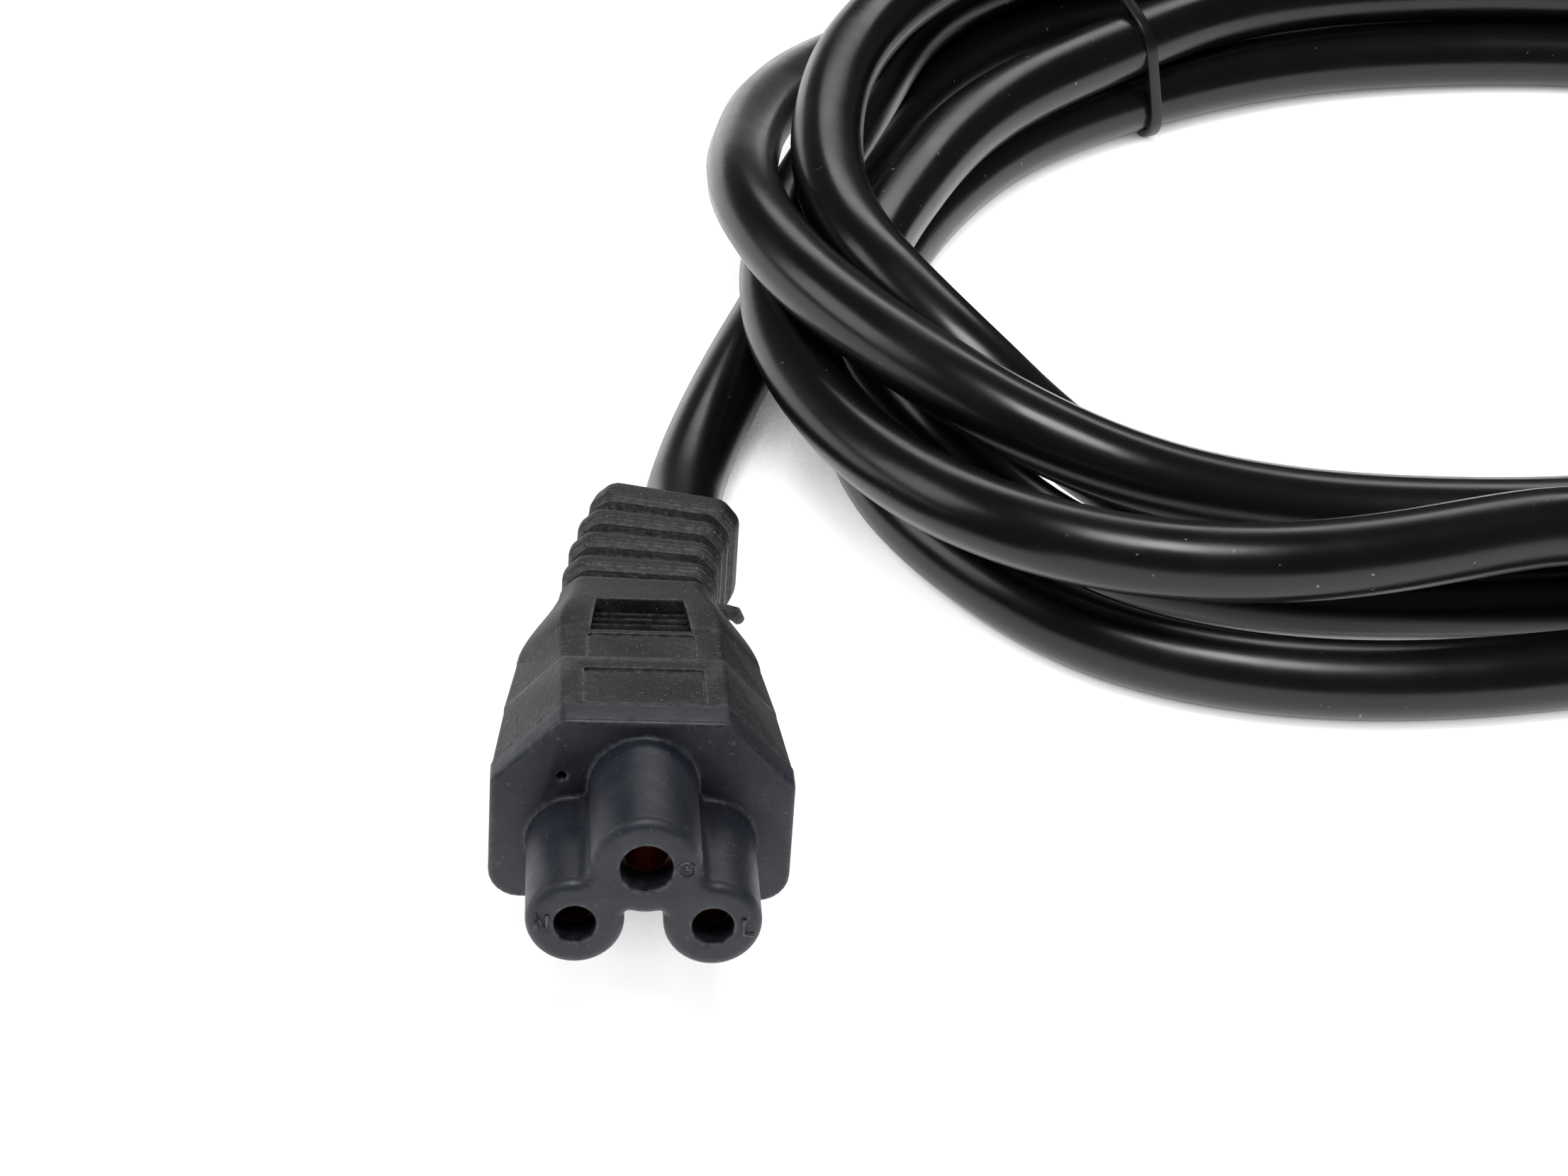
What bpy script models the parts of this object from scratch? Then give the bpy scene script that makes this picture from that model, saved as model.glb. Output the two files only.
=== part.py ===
"""A mains lead: a cloverleaf appliance connector, a coil of round cable and a moulded mains plug.

Metres, +Z up, the floor at z = 0. The connector's nose points along -Y and is tipped up by nose_tilt,
because the connector rests on the lower back edge of its strain relief. The origin is the bottom centre
of the connector's box. Each of the two ends is modelled in a frame of its own, carried by an empty. In the
connector's frame +X is its right side, +Y its upper side, and +Z points out of its nose, whose front face
is at z = 0. In the plug's frame +Z points along the pins, and the cable leaves towards -Y.
"""

import math

import bmesh
import bpy
from mathutils import Euler, Vector

MM = 0.001

# Gap between neighbouring pieces, and how far joined shapes reach into each other
clearance = 0.3 * MM
overlap = 0.6 * MM

# Points of an outline closer than this are one point
same_point = 0.001 * MM

# Cable
cable_diameter = 6.1 * MM
cable_radius = cable_diameter / 2

# Cloverleaf nose: two pole lobes below, the earth lobe above and between them
pole_spacing = 8.9 * MM
earth_rise = 4.3 * MM
pole_lobe_radius = 3.2 * MM
earth_lobe_radius = 3.6 * MM
web_fillet = 0.9 * MM
notch_fillet = 0.35 * MM
nose_length = 10.2 * MM
nose_edge_round = 0.8 * MM
pole_hole_radius = 1.36 * MM
earth_hole_radius = 1.7 * MM
front_wall = 2.0 * MM
contact_wall = 0.4 * MM
contact_length = 7.5 * MM
contact_recess = 0.2 * MM

# Flange of the connector's insert
flange_half_width = 10.15 * MM
flange_top = 7.0 * MM
flange_top_half = 5.5 * MM
flange_shoulder = 2.3 * MM
flange_bottom = 6.95 * MM
flange_corner_round = 2.1 * MM
flange_thickness = 2.3 * MM
flange_edge_round = 0.35 * MM
vent_radius = 0.3 * MM
vent_depth = 1.0 * MM
vent_across = 5.4 * MM
vent_height = 2.7 * MM

# Moulded body behind the flange
body_inset = 0.1 * MM
platform_length = 6.6 * MM
platform_step = 0.9 * MM
platform_fall = 0.2 * MM
grip_length = 6.1 * MM
grip_half_width = 8.6 * MM
grip_top = 5.6 * MM
grip_bottom = 6.1 * MM
grip_rise = 0.15 * MM
housing_bevel_round = 0.5 * MM
shoulder_length = 8.7 * MM
label_width = 8.1 * MM
label_length = 4.8 * MM
label_depth = 0.25 * MM
label_margin = 0.35 * MM
panel_width = 7.4 * MM
panel_length = 4.6 * MM
panel_depth = 0.2 * MM
panel_margin = 0.7 * MM
thumb_length = 4.6 * MM
thumb_back_width = 6.1 * MM
thumb_front_width = 7.1 * MM
thumb_depth = 1.3 * MM
thumb_steps = 4
thumb_step_fall = 0.35

# Strain relief: four grooves between the body and the end cap, bent sideways towards the cable
relief_half_width = 5.7 * MM
relief_half_height = 4.6 * MM
relief_corner_round = 2.2 * MM
groove_pitch = 3.55 * MM
groove_width = 1.6 * MM
groove_depth = 0.9 * MM
groove_count = 4
relief_cap_length = 3.05 * MM
relief_edge_round = 1.0 * MM
relief_bend = math.radians(17)
relief_bend_lead = 3.1 * MM
gate_radius = 0.55 * MM
gate_length = 1.9 * MM
gate_height = 2.4 * MM
gate_across = 0.96
gate_along = 0.93

# How the connector lies
nose_tilt = math.radians(10.6)

# Coil of cable: an oval ring, seen from above a little squarer than an ellipse
coil_across = 79.5 * MM
coil_along = 64 * MM
coil_turn = math.radians(9)
coil_half_length = 63 * MM
coil_half_width = 45.8 * MM
coil_squareness = 2.3
coil_band = 22.4 * MM
coil_height = 18.3 * MM
coil_edge_round = 5 * MM
coil_sides = 72
tie_angle = math.radians(133)
tie_width = 1.2 * MM
tie_thickness = 0.8 * MM

# Free stretches of cable, as points that a smooth curve passes through
lead_bends = [(4.9, 34.1, 3.05), (6.4, 40.6, 3.05)]
tail_bends = [
    (126.4, 117.2, 3.05),
    (140, 116.8, 3.05),
    (158, 114, 3.05),
    (176, 104, 3.05),
    (186.4, 91, 3.2),
    (189, 77, 4.7),
]
straight_exit = 2.5 * MM
route_spacing = 2.2 * cable_diameter

# Mains plug, lying on its back with its pins up
plug_across = 189 * MM
plug_along = 22 * MM
plug_turn = math.radians(180)
plug_drum_radius = 18.3 * MM
plug_grip_height = 14 * MM
plug_drum_height = 31 * MM
plug_edge_round = 1.5 * MM
plug_neck_length = 31 * MM
plug_neck_half_width = 7 * MM
plug_neck_height = 11 * MM
plug_relief_length = 16 * MM
plug_relief_half_width = 5.2 * MM
plug_relief_height = 9.4 * MM
plug_relief_round = 3 * MM
plug_relief_grooves = 3
plug_neck_inset = 1.2 * MM
plug_face_radius = 15 * MM
plug_face_thickness = 2.5 * MM
pin_spacing = 19 * MM
pin_radius = 2.4 * MM
pin_length = 19 * MM
pin_root = 6 * MM
pin_tip_round = 1.8 * MM
earth_socket_offset = 10 * MM
earth_socket_radius = 2.6 * MM
earth_socket_wall = 0.5 * MM
earth_socket_depth = 9 * MM
clip_slot_width = 8.4 * MM
clip_slot_depth = 2.6 * MM
clip_width = 4.5 * MM
clip_thickness = 0.9 * MM
clip_height = 14 * MM

# Places along the connector that several pieces share, as z in its frame
flange_front = -nose_length
seam = flange_front - flange_thickness
body_front = seam - clearance
platform_end = body_front - platform_length
grip_end = platform_end - grip_length
neck = grip_end - shoulder_length
relief_length = (groove_count - 1) * groove_pitch + groove_width + relief_cap_length
relief_end = neck - relief_length
platform_top = flange_top - body_inset


def clear_scene():
    for item in list(bpy.data.objects):
        bpy.data.objects.remove(item, do_unlink=True)


def make_material(name, colour, roughness, metallic=0.0):
    finish = bpy.data.materials.new(name)
    finish.use_nodes = True
    shader = finish.node_tree.nodes["Principled BSDF"]
    shader.inputs["Base Color"].default_value = (*colour, 1.0)
    shader.inputs["Roughness"].default_value = roughness
    shader.inputs["Metallic"].default_value = metallic
    finish.diffuse_color = (*colour, 1.0)
    return finish


def arc(centre, radius, start, end, steps):
    """Points from angle start to angle end, both included, in the plane z = 0."""
    points = []
    for step in range(steps + 1):
        angle = start + (end - start) * step / steps
        points.append((centre[0] + radius * math.cos(angle), centre[1] + radius * math.sin(angle)))
    return points


def circle(centre, radius, sides):
    return arc(centre, radius, 0, 2 * math.pi * (sides - 1) / sides, sides - 1)


def rounded_polygon(corners, radii, steps=3):
    """A counterclockwise outline whose corners are arcs of the given radii."""
    outline = []
    for index, corner in enumerate(corners):
        here = Vector(corner)
        back = (Vector(corners[index - 1]) - here).normalized()
        ahead = (Vector(corners[(index + 1) % len(corners)]) - here).normalized()
        half_angle = back.angle(ahead) / 2
        middle = here + (back + ahead).normalized() * radii[index] / math.sin(half_angle)
        first = here + back * radii[index] / math.tan(half_angle) - middle
        sweep = math.pi - 2 * half_angle
        start = math.atan2(first.y, first.x)
        outline += arc(middle, radii[index], start, start + sweep, steps)
    return outline


def rounded_box(half_width, low, high, radius, steps=3):
    corners = [(half_width, low), (half_width, high), (-half_width, high), (-half_width, low)]
    return rounded_polygon(corners, [radius] * 4, steps)


def at_height(outline, z):
    return [Vector((x, y, z)) for x, y in outline]


def link_object(name, mesh, finish, parent=None):
    item = bpy.data.objects.new(name, mesh)
    bpy.context.scene.collection.objects.link(item)
    item.parent = parent
    if finish:
        mesh.materials.append(finish)
    return item


def skin(name, rings, finish, parent=None, closed=False):
    """One closed body through rings of as many points each, its ends filled or joined to each other."""
    shape = bmesh.new()
    loops = [[shape.verts.new(point) for point in ring] for ring in rings]
    following = loops[1:] + loops[:1] if closed else loops[1:]
    for lower, upper in zip(loops, following):
        for index, vertex in enumerate(lower):
            after = (index + 1) % len(lower)
            shape.faces.new((vertex, lower[after], upper[after], upper[index]))
    if not closed:
        shape.faces.new(loops[0])
        shape.faces.new(loops[-1])
    bmesh.ops.recalc_face_normals(shape, faces=shape.faces)
    mesh = bpy.data.meshes.new(name)
    shape.to_mesh(mesh)
    shape.free()
    mesh.shade_smooth()
    mesh.set_sharp_from_angle(angle=math.radians(35))
    return link_object(name, mesh, finish, parent)


def rod(name, centre, radius, low, high, finish, parent=None, sides=24):
    outline = circle(centre, radius, sides)
    return skin(name, [at_height(outline, low), at_height(outline, high)], finish, parent)


def combine(target, other, operation):
    """Cuts other out of target, or joins it on. The other shape is only a guide."""
    change = target.modifiers.new(other.name, "BOOLEAN")
    change.operation = operation
    change.object = other
    other.hide_render = True
    other.display_type = "WIRE"


def circles_meet(first, second, first_radius, second_radius, side):
    """Where two circles cross, on the left (1) or right (-1) of the way from first to second."""
    way = Vector(second) - Vector(first)
    distance = way.length
    along = (first_radius**2 - second_radius**2 + distance**2) / (2 * distance)
    across = math.sqrt(first_radius**2 - along**2)
    way.normalize()
    return Vector(first) + way * along + Vector((-way.y, way.x)) * across * side


def direction(start, end):
    return math.atan2(end[1] - start[1], end[0] - start[0])


def turned_on(start, end, anticlockwise):
    """The angle end, moved by whole turns so that it follows start in the given sense."""
    while anticlockwise and end < start:
        end += 2 * math.pi
    while not anticlockwise and end > start:
        end -= 2 * math.pi
    return end


def swing(centre, radius, start_point, end_point, anticlockwise, steps):
    start = direction(centre, start_point)
    end = turned_on(start, direction(centre, end_point), anticlockwise)
    return arc(centre, radius, start, end, steps)


def clover_outline(inset=0.0):
    """The nose's outline, moved inwards by inset: three lobes, filleted, with a notch between the poles."""
    earth = (0.0, earth_rise / 2)
    neutral = (-pole_spacing / 2, -earth_rise / 2)
    line = (pole_spacing / 2, -earth_rise / 2)
    web, notch = {}, {}
    for pole, side in ((neutral, -1), (line, 1)):
        web[pole] = circles_meet(
            earth, pole, earth_lobe_radius + web_fillet, pole_lobe_radius + web_fillet, side
        )
        notch[pole] = circles_meet(
            earth, pole, earth_lobe_radius + notch_fillet, pole_lobe_radius + notch_fillet, -side
        )
    earth_radius = earth_lobe_radius - inset
    pole_radius = pole_lobe_radius - inset
    outline = swing(earth, earth_radius, web[line], web[neutral], True, 14)
    outline += swing(web[neutral], web_fillet + inset, earth, neutral, False, 4)
    outline += swing(neutral, pole_radius, web[neutral], notch[neutral], True, 16)
    outline += swing(notch[neutral], notch_fillet + inset, neutral, earth, False, 3)
    outline += swing(earth, earth_radius, notch[neutral], notch[line], True, 3)
    outline += swing(notch[line], notch_fillet + inset, earth, line, False, 3)
    outline += swing(line, pole_radius, notch[line], web[line], True, 16)
    outline += swing(web[line], web_fillet + inset, line, earth, False, 4)
    merged = []
    for point in outline:
        if not merged or (Vector(point) - Vector(merged[-1])).length > same_point:
            merged.append(point)
    return merged


def housing_outline(
    half_width, top_half, top, shoulder, bottom, corner_round, bevel_round=housing_bevel_round
):
    """A section of the housing: flat top, two bevels down to the shoulders, rounded lower corners."""
    corners = [
        (half_width, -bottom),
        (half_width, shoulder),
        (top_half, top),
        (-top_half, top),
        (-half_width, shoulder),
        (-half_width, -bottom),
    ]
    return rounded_polygon(corners, [corner_round] + [bevel_round] * 4 + [corner_round])


def flange_outline(inset=0.0):
    return housing_outline(
        flange_half_width - inset,
        flange_top_half - inset / 2,
        flange_top - inset,
        flange_shoulder - inset / 2,
        flange_bottom - inset,
        flange_corner_round - inset,
    )


def edge_rounding(radius, steps=4):
    """Pairs of depth and inset that make a square edge a quarter round, from the side to the end face."""
    pairs = []
    for step in range(steps + 1):
        angle = math.pi / 2 * step / steps
        pairs.append((radius * (1 - math.sin(angle)), radius * (1 - math.cos(angle))))
    return pairs


def contact_places():
    """Name, centre and hole radius of each of the three contacts."""
    return [
        ("neutral", (-pole_spacing / 2, -earth_rise / 2), pole_hole_radius),
        ("line", (pole_spacing / 2, -earth_rise / 2), pole_hole_radius),
        ("earth", (0.0, earth_rise / 2), earth_hole_radius),
    ]


def contact_outer_radius(hole_radius):
    return hole_radius - contact_recess + contact_wall


def make_insert(carrier, finish):
    flange_rings = [at_height(flange_outline(), seam)]
    for depth, inset in edge_rounding(flange_edge_round, 2):
        flange_rings.append(at_height(flange_outline(inset), flange_front - depth))
    insert = skin("connector_insert", flange_rings, finish, carrier)
    nose_rings = [at_height(clover_outline(), flange_front - overlap)]
    for depth, inset in edge_rounding(nose_edge_round):
        nose_rings.append(at_height(clover_outline(inset), -depth))
    combine(insert, skin("nose_shape", nose_rings, None, carrier), "UNION")
    for name, centre, hole_radius in contact_places():
        hole = rod(f"{name}_hole", centre, hole_radius, -front_wall - overlap, overlap, None, carrier)
        cell_radius = contact_outer_radius(hole_radius) + clearance
        cell_end = -front_wall - contact_length - 2 * clearance
        cell = rod(f"{name}_cell", centre, cell_radius, cell_end, -front_wall, None, carrier)
        combine(insert, hole, "DIFFERENCE")
        combine(insert, cell, "DIFFERENCE")
    vent_centre = (-vent_across, vent_height)
    vent_low = flange_front - vent_depth
    vent = rod("vent_hole", vent_centre, vent_radius, vent_low, flange_front + overlap, None, carrier, 12)
    combine(insert, vent, "DIFFERENCE")


def make_contacts(carrier, finish):
    """Turned sleeves, open towards the front, each in its cell behind the front wall."""
    for name, centre, hole_radius in contact_places():
        outer = contact_outer_radius(hole_radius)
        inner = outer - contact_wall
        front = -front_wall - clearance
        back = front - contact_length
        floor = back + contact_wall
        rings = [
            at_height(circle(centre, outer, 24), back),
            at_height(circle(centre, outer, 24), front),
            at_height(circle(centre, inner, 24), front),
            at_height(circle(centre, inner, 24), floor),
        ]
        skin(f"contact_{name}", rings, finish, carrier)


def relief_bent(point):
    """A point of the straight connector, moved to where the bent strain relief holds it."""
    start = neck + relief_bend_lead
    behind = start - point.z
    if behind <= 0:
        return point
    bend_radius = (relief_bend_lead + relief_length) / relief_bend
    angle = behind / bend_radius
    return Vector(
        (
            bend_radius * (1 - math.cos(angle)) + point.x * math.cos(angle),
            point.y,
            start - bend_radius * math.sin(angle) + point.x * math.sin(angle),
        )
    )


def eased(share):
    return 0.5 - 0.5 * math.cos(math.pi * share)


def between(first, second, share):
    return first + (second - first) * share


def relief_section(inset):
    """The strain relief's section, with as many points as the housing's."""
    half_width = relief_half_width - inset
    half_height = relief_half_height - inset
    bevel = relief_corner_round * 0.6
    return housing_outline(
        half_width,
        half_width - bevel,
        half_height,
        half_height - bevel,
        half_height,
        relief_corner_round - 0.5 * inset,
        bevel,
    )


def body_sections():
    """Pairs of z and outline, from the seam to the neck."""
    bottom_slope = (flange_bottom - grip_bottom) / (platform_length + grip_length)
    middle_width = between(flange_half_width, grip_half_width, 0.5)
    sections = []
    for z, half_width, top in (
        (body_front, flange_half_width - body_inset, platform_top),
        (platform_end, middle_width, platform_top - platform_fall),
        (platform_end - platform_step / 2, middle_width, grip_top + grip_rise),
        (grip_end, grip_half_width, grip_top),
    ):
        bottom = flange_bottom - bottom_slope * (body_front - z)
        outline = housing_outline(
            half_width, flange_top_half, top, flange_shoulder, bottom, flange_corner_round
        )
        sections.append((z, outline))
    narrow = relief_section(0.0)
    wide = sections[-1][1]
    count = 6
    for step in range(1, count + 1):
        share = step / count
        mix = eased(share)
        outline = [tuple(Vector(a).lerp(Vector(b), mix)) for a, b in zip(wide, narrow)]
        sections.append((between(grip_end, neck, share), outline))
    return sections


def relief_sections():
    """Pairs of z and outline, from the first groove to the rounded end of the cap."""
    sections = []
    slope = groove_depth / 2
    for index in range(groove_count):
        start = neck - index * groove_pitch
        sections.append((start - slope, relief_section(groove_depth)))
        sections.append((start - groove_width, relief_section(groove_depth)))
        sections.append((start - groove_width - slope / 2, relief_section(0.0)))
        if index < groove_count - 1:
            sections.append((start - groove_pitch, relief_section(0.0)))
    for depth, inset in edge_rounding(relief_edge_round, 3):
        sections.append((relief_end + depth, relief_section(inset)))
    return sections


def thumb_cutter(carrier, top):
    """A trapezoid pocket whose floor is a saw-tooth: each step falls away towards the back."""
    front = grip_end + thumb_length * 0.1
    pitch = thumb_length / thumb_steps
    profile = [(front - thumb_length, top + overlap)]
    for step in range(thumb_steps):
        low = front - thumb_length + step * pitch
        floor = top - thumb_depth * (1 - step / thumb_steps)
        profile.append((low, floor))
        profile.append((low + pitch, floor + thumb_depth / thumb_steps * thumb_step_fall))
    profile.append((front, top + overlap))
    shape = bmesh.new()
    sides = []
    for side in (-1, 1):
        row = []
        for z, y in profile:
            share = (z - front + thumb_length) / thumb_length
            half = between(thumb_back_width, thumb_front_width, share) / 2
            row.append(shape.verts.new((side * half, y, z)))
        sides.append(row)
    for index in range(len(profile)):
        after = (index + 1) % len(profile)
        shape.faces.new((sides[0][index], sides[0][after], sides[1][after], sides[1][index]))
    shape.faces.new(sides[0])
    shape.faces.new(sides[1])
    bmesh.ops.recalc_face_normals(shape, faces=shape.faces)
    mesh = bpy.data.meshes.new("thumb_pocket")
    shape.to_mesh(mesh)
    shape.free()
    return link_object("thumb_pocket", mesh, None, carrier)


def pocket(name, width, back, front, floor, top, carrier):
    """A shallow rectangular cutter between two places along the connector, open upwards."""
    half = width / 2
    low = [(-half, floor, back), (half, floor, back), (half, floor, front), (-half, floor, front)]
    high = [(x, top, z) for x, _, z in low]
    return skin(name, [low, high], None, carrier)


def make_body(carrier, finish):
    rings = []
    for z, outline in body_sections() + relief_sections():
        rings.append([relief_bent(point) for point in at_height(outline, z)])
    body = skin("connector_body", rings, finish, carrier)
    for name, width, front, length, floor in (
        ("label_pocket", label_width, body_front - label_margin, label_length, platform_top - label_depth),
        ("panel_pocket", panel_width, platform_end - panel_margin, panel_length, grip_top - panel_depth),
    ):
        window = pocket(name, width, front - length, front, floor, flange_top + overlap, carrier)
        combine(body, window, "DIFFERENCE")
    combine(body, thumb_cutter(carrier, grip_top), "DIFFERENCE")
    gate = rod("gate_shape", (0, 0), gate_radius, -overlap, gate_length, None, carrier, 12)
    gate.location = (
        between(grip_half_width, relief_half_width, gate_across),
        gate_height,
        between(grip_end, neck, gate_along),
    )
    gate.rotation_euler = (0, math.radians(90), 0)
    combine(body, gate, "UNION")


def smooth_route(points, spacing):
    """Evenly spaced points of a Catmull-Rom curve through the given ones."""
    fine = []
    padded = [2 * points[0] - points[1]] + points + [2 * points[-1] - points[-2]]
    for index in range(1, len(padded) - 2):
        before, start, end, after = padded[index - 1 : index + 3]
        for step in range(24):
            t = step / 24
            fine.append(
                0.5
                * (
                    2 * start
                    + (end - before) * t
                    + (2 * before - 5 * start + 4 * end - after) * t**2
                    + (3 * start - before - 3 * end + after) * t**3
                )
            )
    fine.append(points[-1])
    lengths = [0.0]
    for start, end in zip(fine, fine[1:]):
        lengths.append(lengths[-1] + (end - start).length)
    count = max(2, round(lengths[-1] / spacing))
    route = []
    index = 0
    for step in range(count + 1):
        target = lengths[-1] * step / count
        while index < len(fine) - 2 and lengths[index + 1] < target:
            index += 1
        share = (target - lengths[index]) / (lengths[index + 1] - lengths[index])
        route.append(fine[index].lerp(fine[index + 1], min(share, 1.0)))
    return route


def make_cable(name, points, finish):
    curve = bpy.data.curves.new(name, "CURVE")
    curve.dimensions = "3D"
    curve.bevel_depth = cable_radius
    curve.bevel_resolution = 3
    curve.use_fill_caps = True
    route = smooth_route(points, route_spacing)
    spline = curve.splines.new("POLY")
    spline.points.add(len(route) - 1)
    for place, point in zip(spline.points, route):
        place.co = (*point, 1.0)
    curve.materials.append(finish)
    cable = bpy.data.objects.new(name, curve)
    bpy.context.scene.collection.objects.link(cable)


def coil_frame(angle):
    """The middle of the coil's band at an angle, and the level direction out of the coil there."""
    own = angle - coil_turn
    across = abs(math.cos(own)) / coil_half_length
    along = abs(math.sin(own)) / coil_half_width
    reach = (across**coil_squareness + along**coil_squareness) ** (-1 / coil_squareness)
    middle = Vector((coil_across, coil_along, 0))
    middle += Vector((reach * math.cos(angle), reach * math.sin(angle), 0))
    slope = (
        math.copysign(across ** (coil_squareness - 1) / coil_half_length, math.cos(own)),
        math.copysign(along ** (coil_squareness - 1) / coil_half_width, math.sin(own)),
        0,
    )
    outward = Vector(slope).normalized()
    outward.rotate(Euler((0, 0, coil_turn)))
    return middle, outward


def make_coil(finish):
    section = rounded_box(coil_band / 2, 0.0, coil_height, coil_edge_round, 3)
    rings = []
    for side in range(coil_sides):
        middle, outward = coil_frame(2 * math.pi * side / coil_sides)
        rings.append([middle + outward * across + Vector((0, 0, up)) for across, up in section])
    coil = skin("cord_coil", rings, finish, closed=True)
    channel_width = tie_width + 2 * clearance
    channel = loop_round_coil("tie_channel", tie_thickness + clearance, -overlap, channel_width, None)
    combine(coil, channel, "DIFFERENCE")


def loop_round_coil(name, inner_inset, outer_inset, width, finish):
    """A closed loop round the coil's section, between two insets from its outline."""
    middle, outward = coil_frame(tie_angle)
    along = Vector((-outward.y, outward.x, 0)) * width / 2
    outlines = []
    for inset in (inner_inset, outer_inset):
        half_width = coil_band / 2 - inset
        outlines.append(rounded_box(half_width, inset, coil_height - inset, coil_edge_round - inset))
    rings = []
    for near, far in zip(*outlines):
        ring = []
        for (across, up), side in ((near, -1), (far, -1), (far, 1), (near, 1)):
            ring.append(middle + outward * across + Vector((0, 0, up)) + along * side)
        rings.append(ring)
    return skin(name, rings, finish, closed=True)


def make_tie(finish):
    """A thin band that holds the coil's far side together, pulled a little way into the bundle."""
    loop_round_coil("tie_band", tie_thickness, 0.0, tie_width, finish)


def plug_neck_sections():
    """Pairs of distance from the drum's middle and outline, out to the end of the plug's relief."""
    sections = []
    start = plug_drum_radius / 3
    count = 5
    for step in range(count + 1):
        share = step / count
        half_width = between(plug_drum_radius - plug_neck_inset, plug_neck_half_width, eased(share))
        height = between(plug_grip_height, plug_neck_height, eased(share))
        outline = rounded_box(half_width, 0.0, height, plug_edge_round * 1.5)
        sections.append((between(start, plug_neck_length, share), outline))
    wide = rounded_box(plug_relief_half_width, 0.0, plug_relief_height, plug_relief_round)
    narrow = rounded_box(
        plug_relief_half_width - groove_depth,
        groove_depth,
        plug_relief_height - groove_depth,
        plug_relief_round - groove_depth / 2,
    )
    pitch = plug_relief_length / plug_relief_grooves
    for index in range(plug_relief_grooves):
        begin = plug_neck_length + index * pitch
        sections.append((begin + groove_depth / 2, narrow))
        sections.append((begin + groove_width, narrow))
        sections.append((begin + groove_width + groove_depth / 4, wide))
        sections.append((begin + pitch, wide))
    return sections


def make_plug(carrier, body_finish, face_finish, metal_finish):
    drum_rings = [at_height(circle((0, 0), plug_drum_radius - plug_edge_round, 48), 0.0)]
    drum_rings.append(at_height(circle((0, 0), plug_drum_radius, 48), plug_edge_round))
    for depth, inset in edge_rounding(plug_edge_round, 3):
        drum_rings.append(at_height(circle((0, 0), plug_drum_radius - inset, 48), plug_drum_height - depth))
    body = skin("plug_body", drum_rings, body_finish, carrier)
    top = plug_drum_height + overlap
    neck_rings = []
    for distance, outline in plug_neck_sections():
        neck_rings.append([Vector((x, -distance, up)) for x, up in outline])
    combine(body, skin("plug_neck_shape", neck_rings, None, carrier), "UNION")
    recess_floor = plug_drum_height - plug_face_thickness
    recess_radius = plug_face_radius + clearance
    recess = rod("plug_face_recess", (0, 0), recess_radius, recess_floor, top, None, carrier, 48)
    combine(body, recess, "DIFFERENCE")
    face_low = recess_floor + clearance
    face = rod("plug_face", (0, 0), plug_face_radius, face_low, plug_drum_height, face_finish, carrier, 48)
    for side, name in ((-1, "left"), (1, "right")):
        centre = (side * pin_spacing / 2, 0)
        bore_floor = recess_floor - pin_root
        bore = rod(f"pin_bore_{name}", centre, pin_radius + clearance, bore_floor, top, None, carrier)
        combine(body, bore, "DIFFERENCE")
        combine(face, bore, "DIFFERENCE")
        make_pin(f"plug_pin_{name}", centre, bore_floor + clearance, metal_finish, carrier)
    make_earth_socket(body, face, recess_floor, metal_finish, carrier)
    make_clips(body, metal_finish, carrier)


def make_pin(name, centre, root, finish, carrier):
    rings = [at_height(circle(centre, pin_radius, 24), root)]
    tip = plug_drum_height + pin_length
    for depth, inset in edge_rounding(pin_tip_round, 4):
        rings.append(at_height(circle(centre, pin_radius - inset, 24), tip - depth))
    skin(name, rings, finish, carrier)


def make_earth_socket(body, face, recess_floor, finish, carrier):
    centre = (0, earth_socket_offset)
    outer = earth_socket_radius + earth_socket_wall
    floor = recess_floor - earth_socket_depth
    bore = rod("earth_bore", centre, outer + clearance, floor, plug_drum_height + overlap, None, carrier)
    combine(body, bore, "DIFFERENCE")
    combine(face, bore, "DIFFERENCE")
    back = floor + clearance
    front = plug_drum_height - plug_face_thickness / 2
    rings = [
        at_height(circle(centre, outer, 24), back),
        at_height(circle(centre, outer, 24), front),
        at_height(circle(centre, earth_socket_radius, 24), front),
        at_height(circle(centre, earth_socket_radius, 24), back + earth_socket_wall),
    ]
    skin("plug_earth_socket", rings, finish, carrier)


def make_clips(body, finish, carrier):
    """Earth strips in the two guide slots of the drum's side."""
    for side, name in ((-1, "lower"), (1, "upper")):
        inner = plug_drum_radius - clip_slot_depth
        outer = plug_drum_radius + overlap
        half = clip_slot_width / 2
        floor = [(-half, side * inner), (half, side * inner), (half, side * outer), (-half, side * outer)]
        slot_low = plug_grip_height + 2 * clearance
        slot_rings = [at_height(floor, slot_low), at_height(floor, plug_drum_height + overlap)]
        combine(body, skin(f"clip_slot_{name}", slot_rings, None, carrier), "DIFFERENCE")
        near = inner + clearance
        far = near + clip_thickness
        half = clip_width / 2
        strip = [(-half, side * near), (half, side * near), (half, side * far), (-half, side * far)]
        low = slot_low + clearance
        strip_rings = [at_height(strip, low), at_height(strip, low + clip_height)]
        skin(f"plug_clip_{name}", strip_rings, finish, carrier)


def stand_on_origin(carrier, names):
    """Moves the carrier so that the box round the named pieces has its bottom centre at the origin."""
    bpy.context.view_layer.update()
    corners = []
    for name in names:
        piece = bpy.data.objects[name]
        corners += [piece.matrix_world @ vertex.co for vertex in piece.data.vertices]
    low = Vector([min(corner[axis] for corner in corners) for axis in range(3)])
    high = Vector([max(corner[axis] for corner in corners) for axis in range(3)])
    middle = (low + high) / 2
    carrier.location -= Vector((middle.x, middle.y, low.z))
    bpy.context.view_layer.update()


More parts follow.
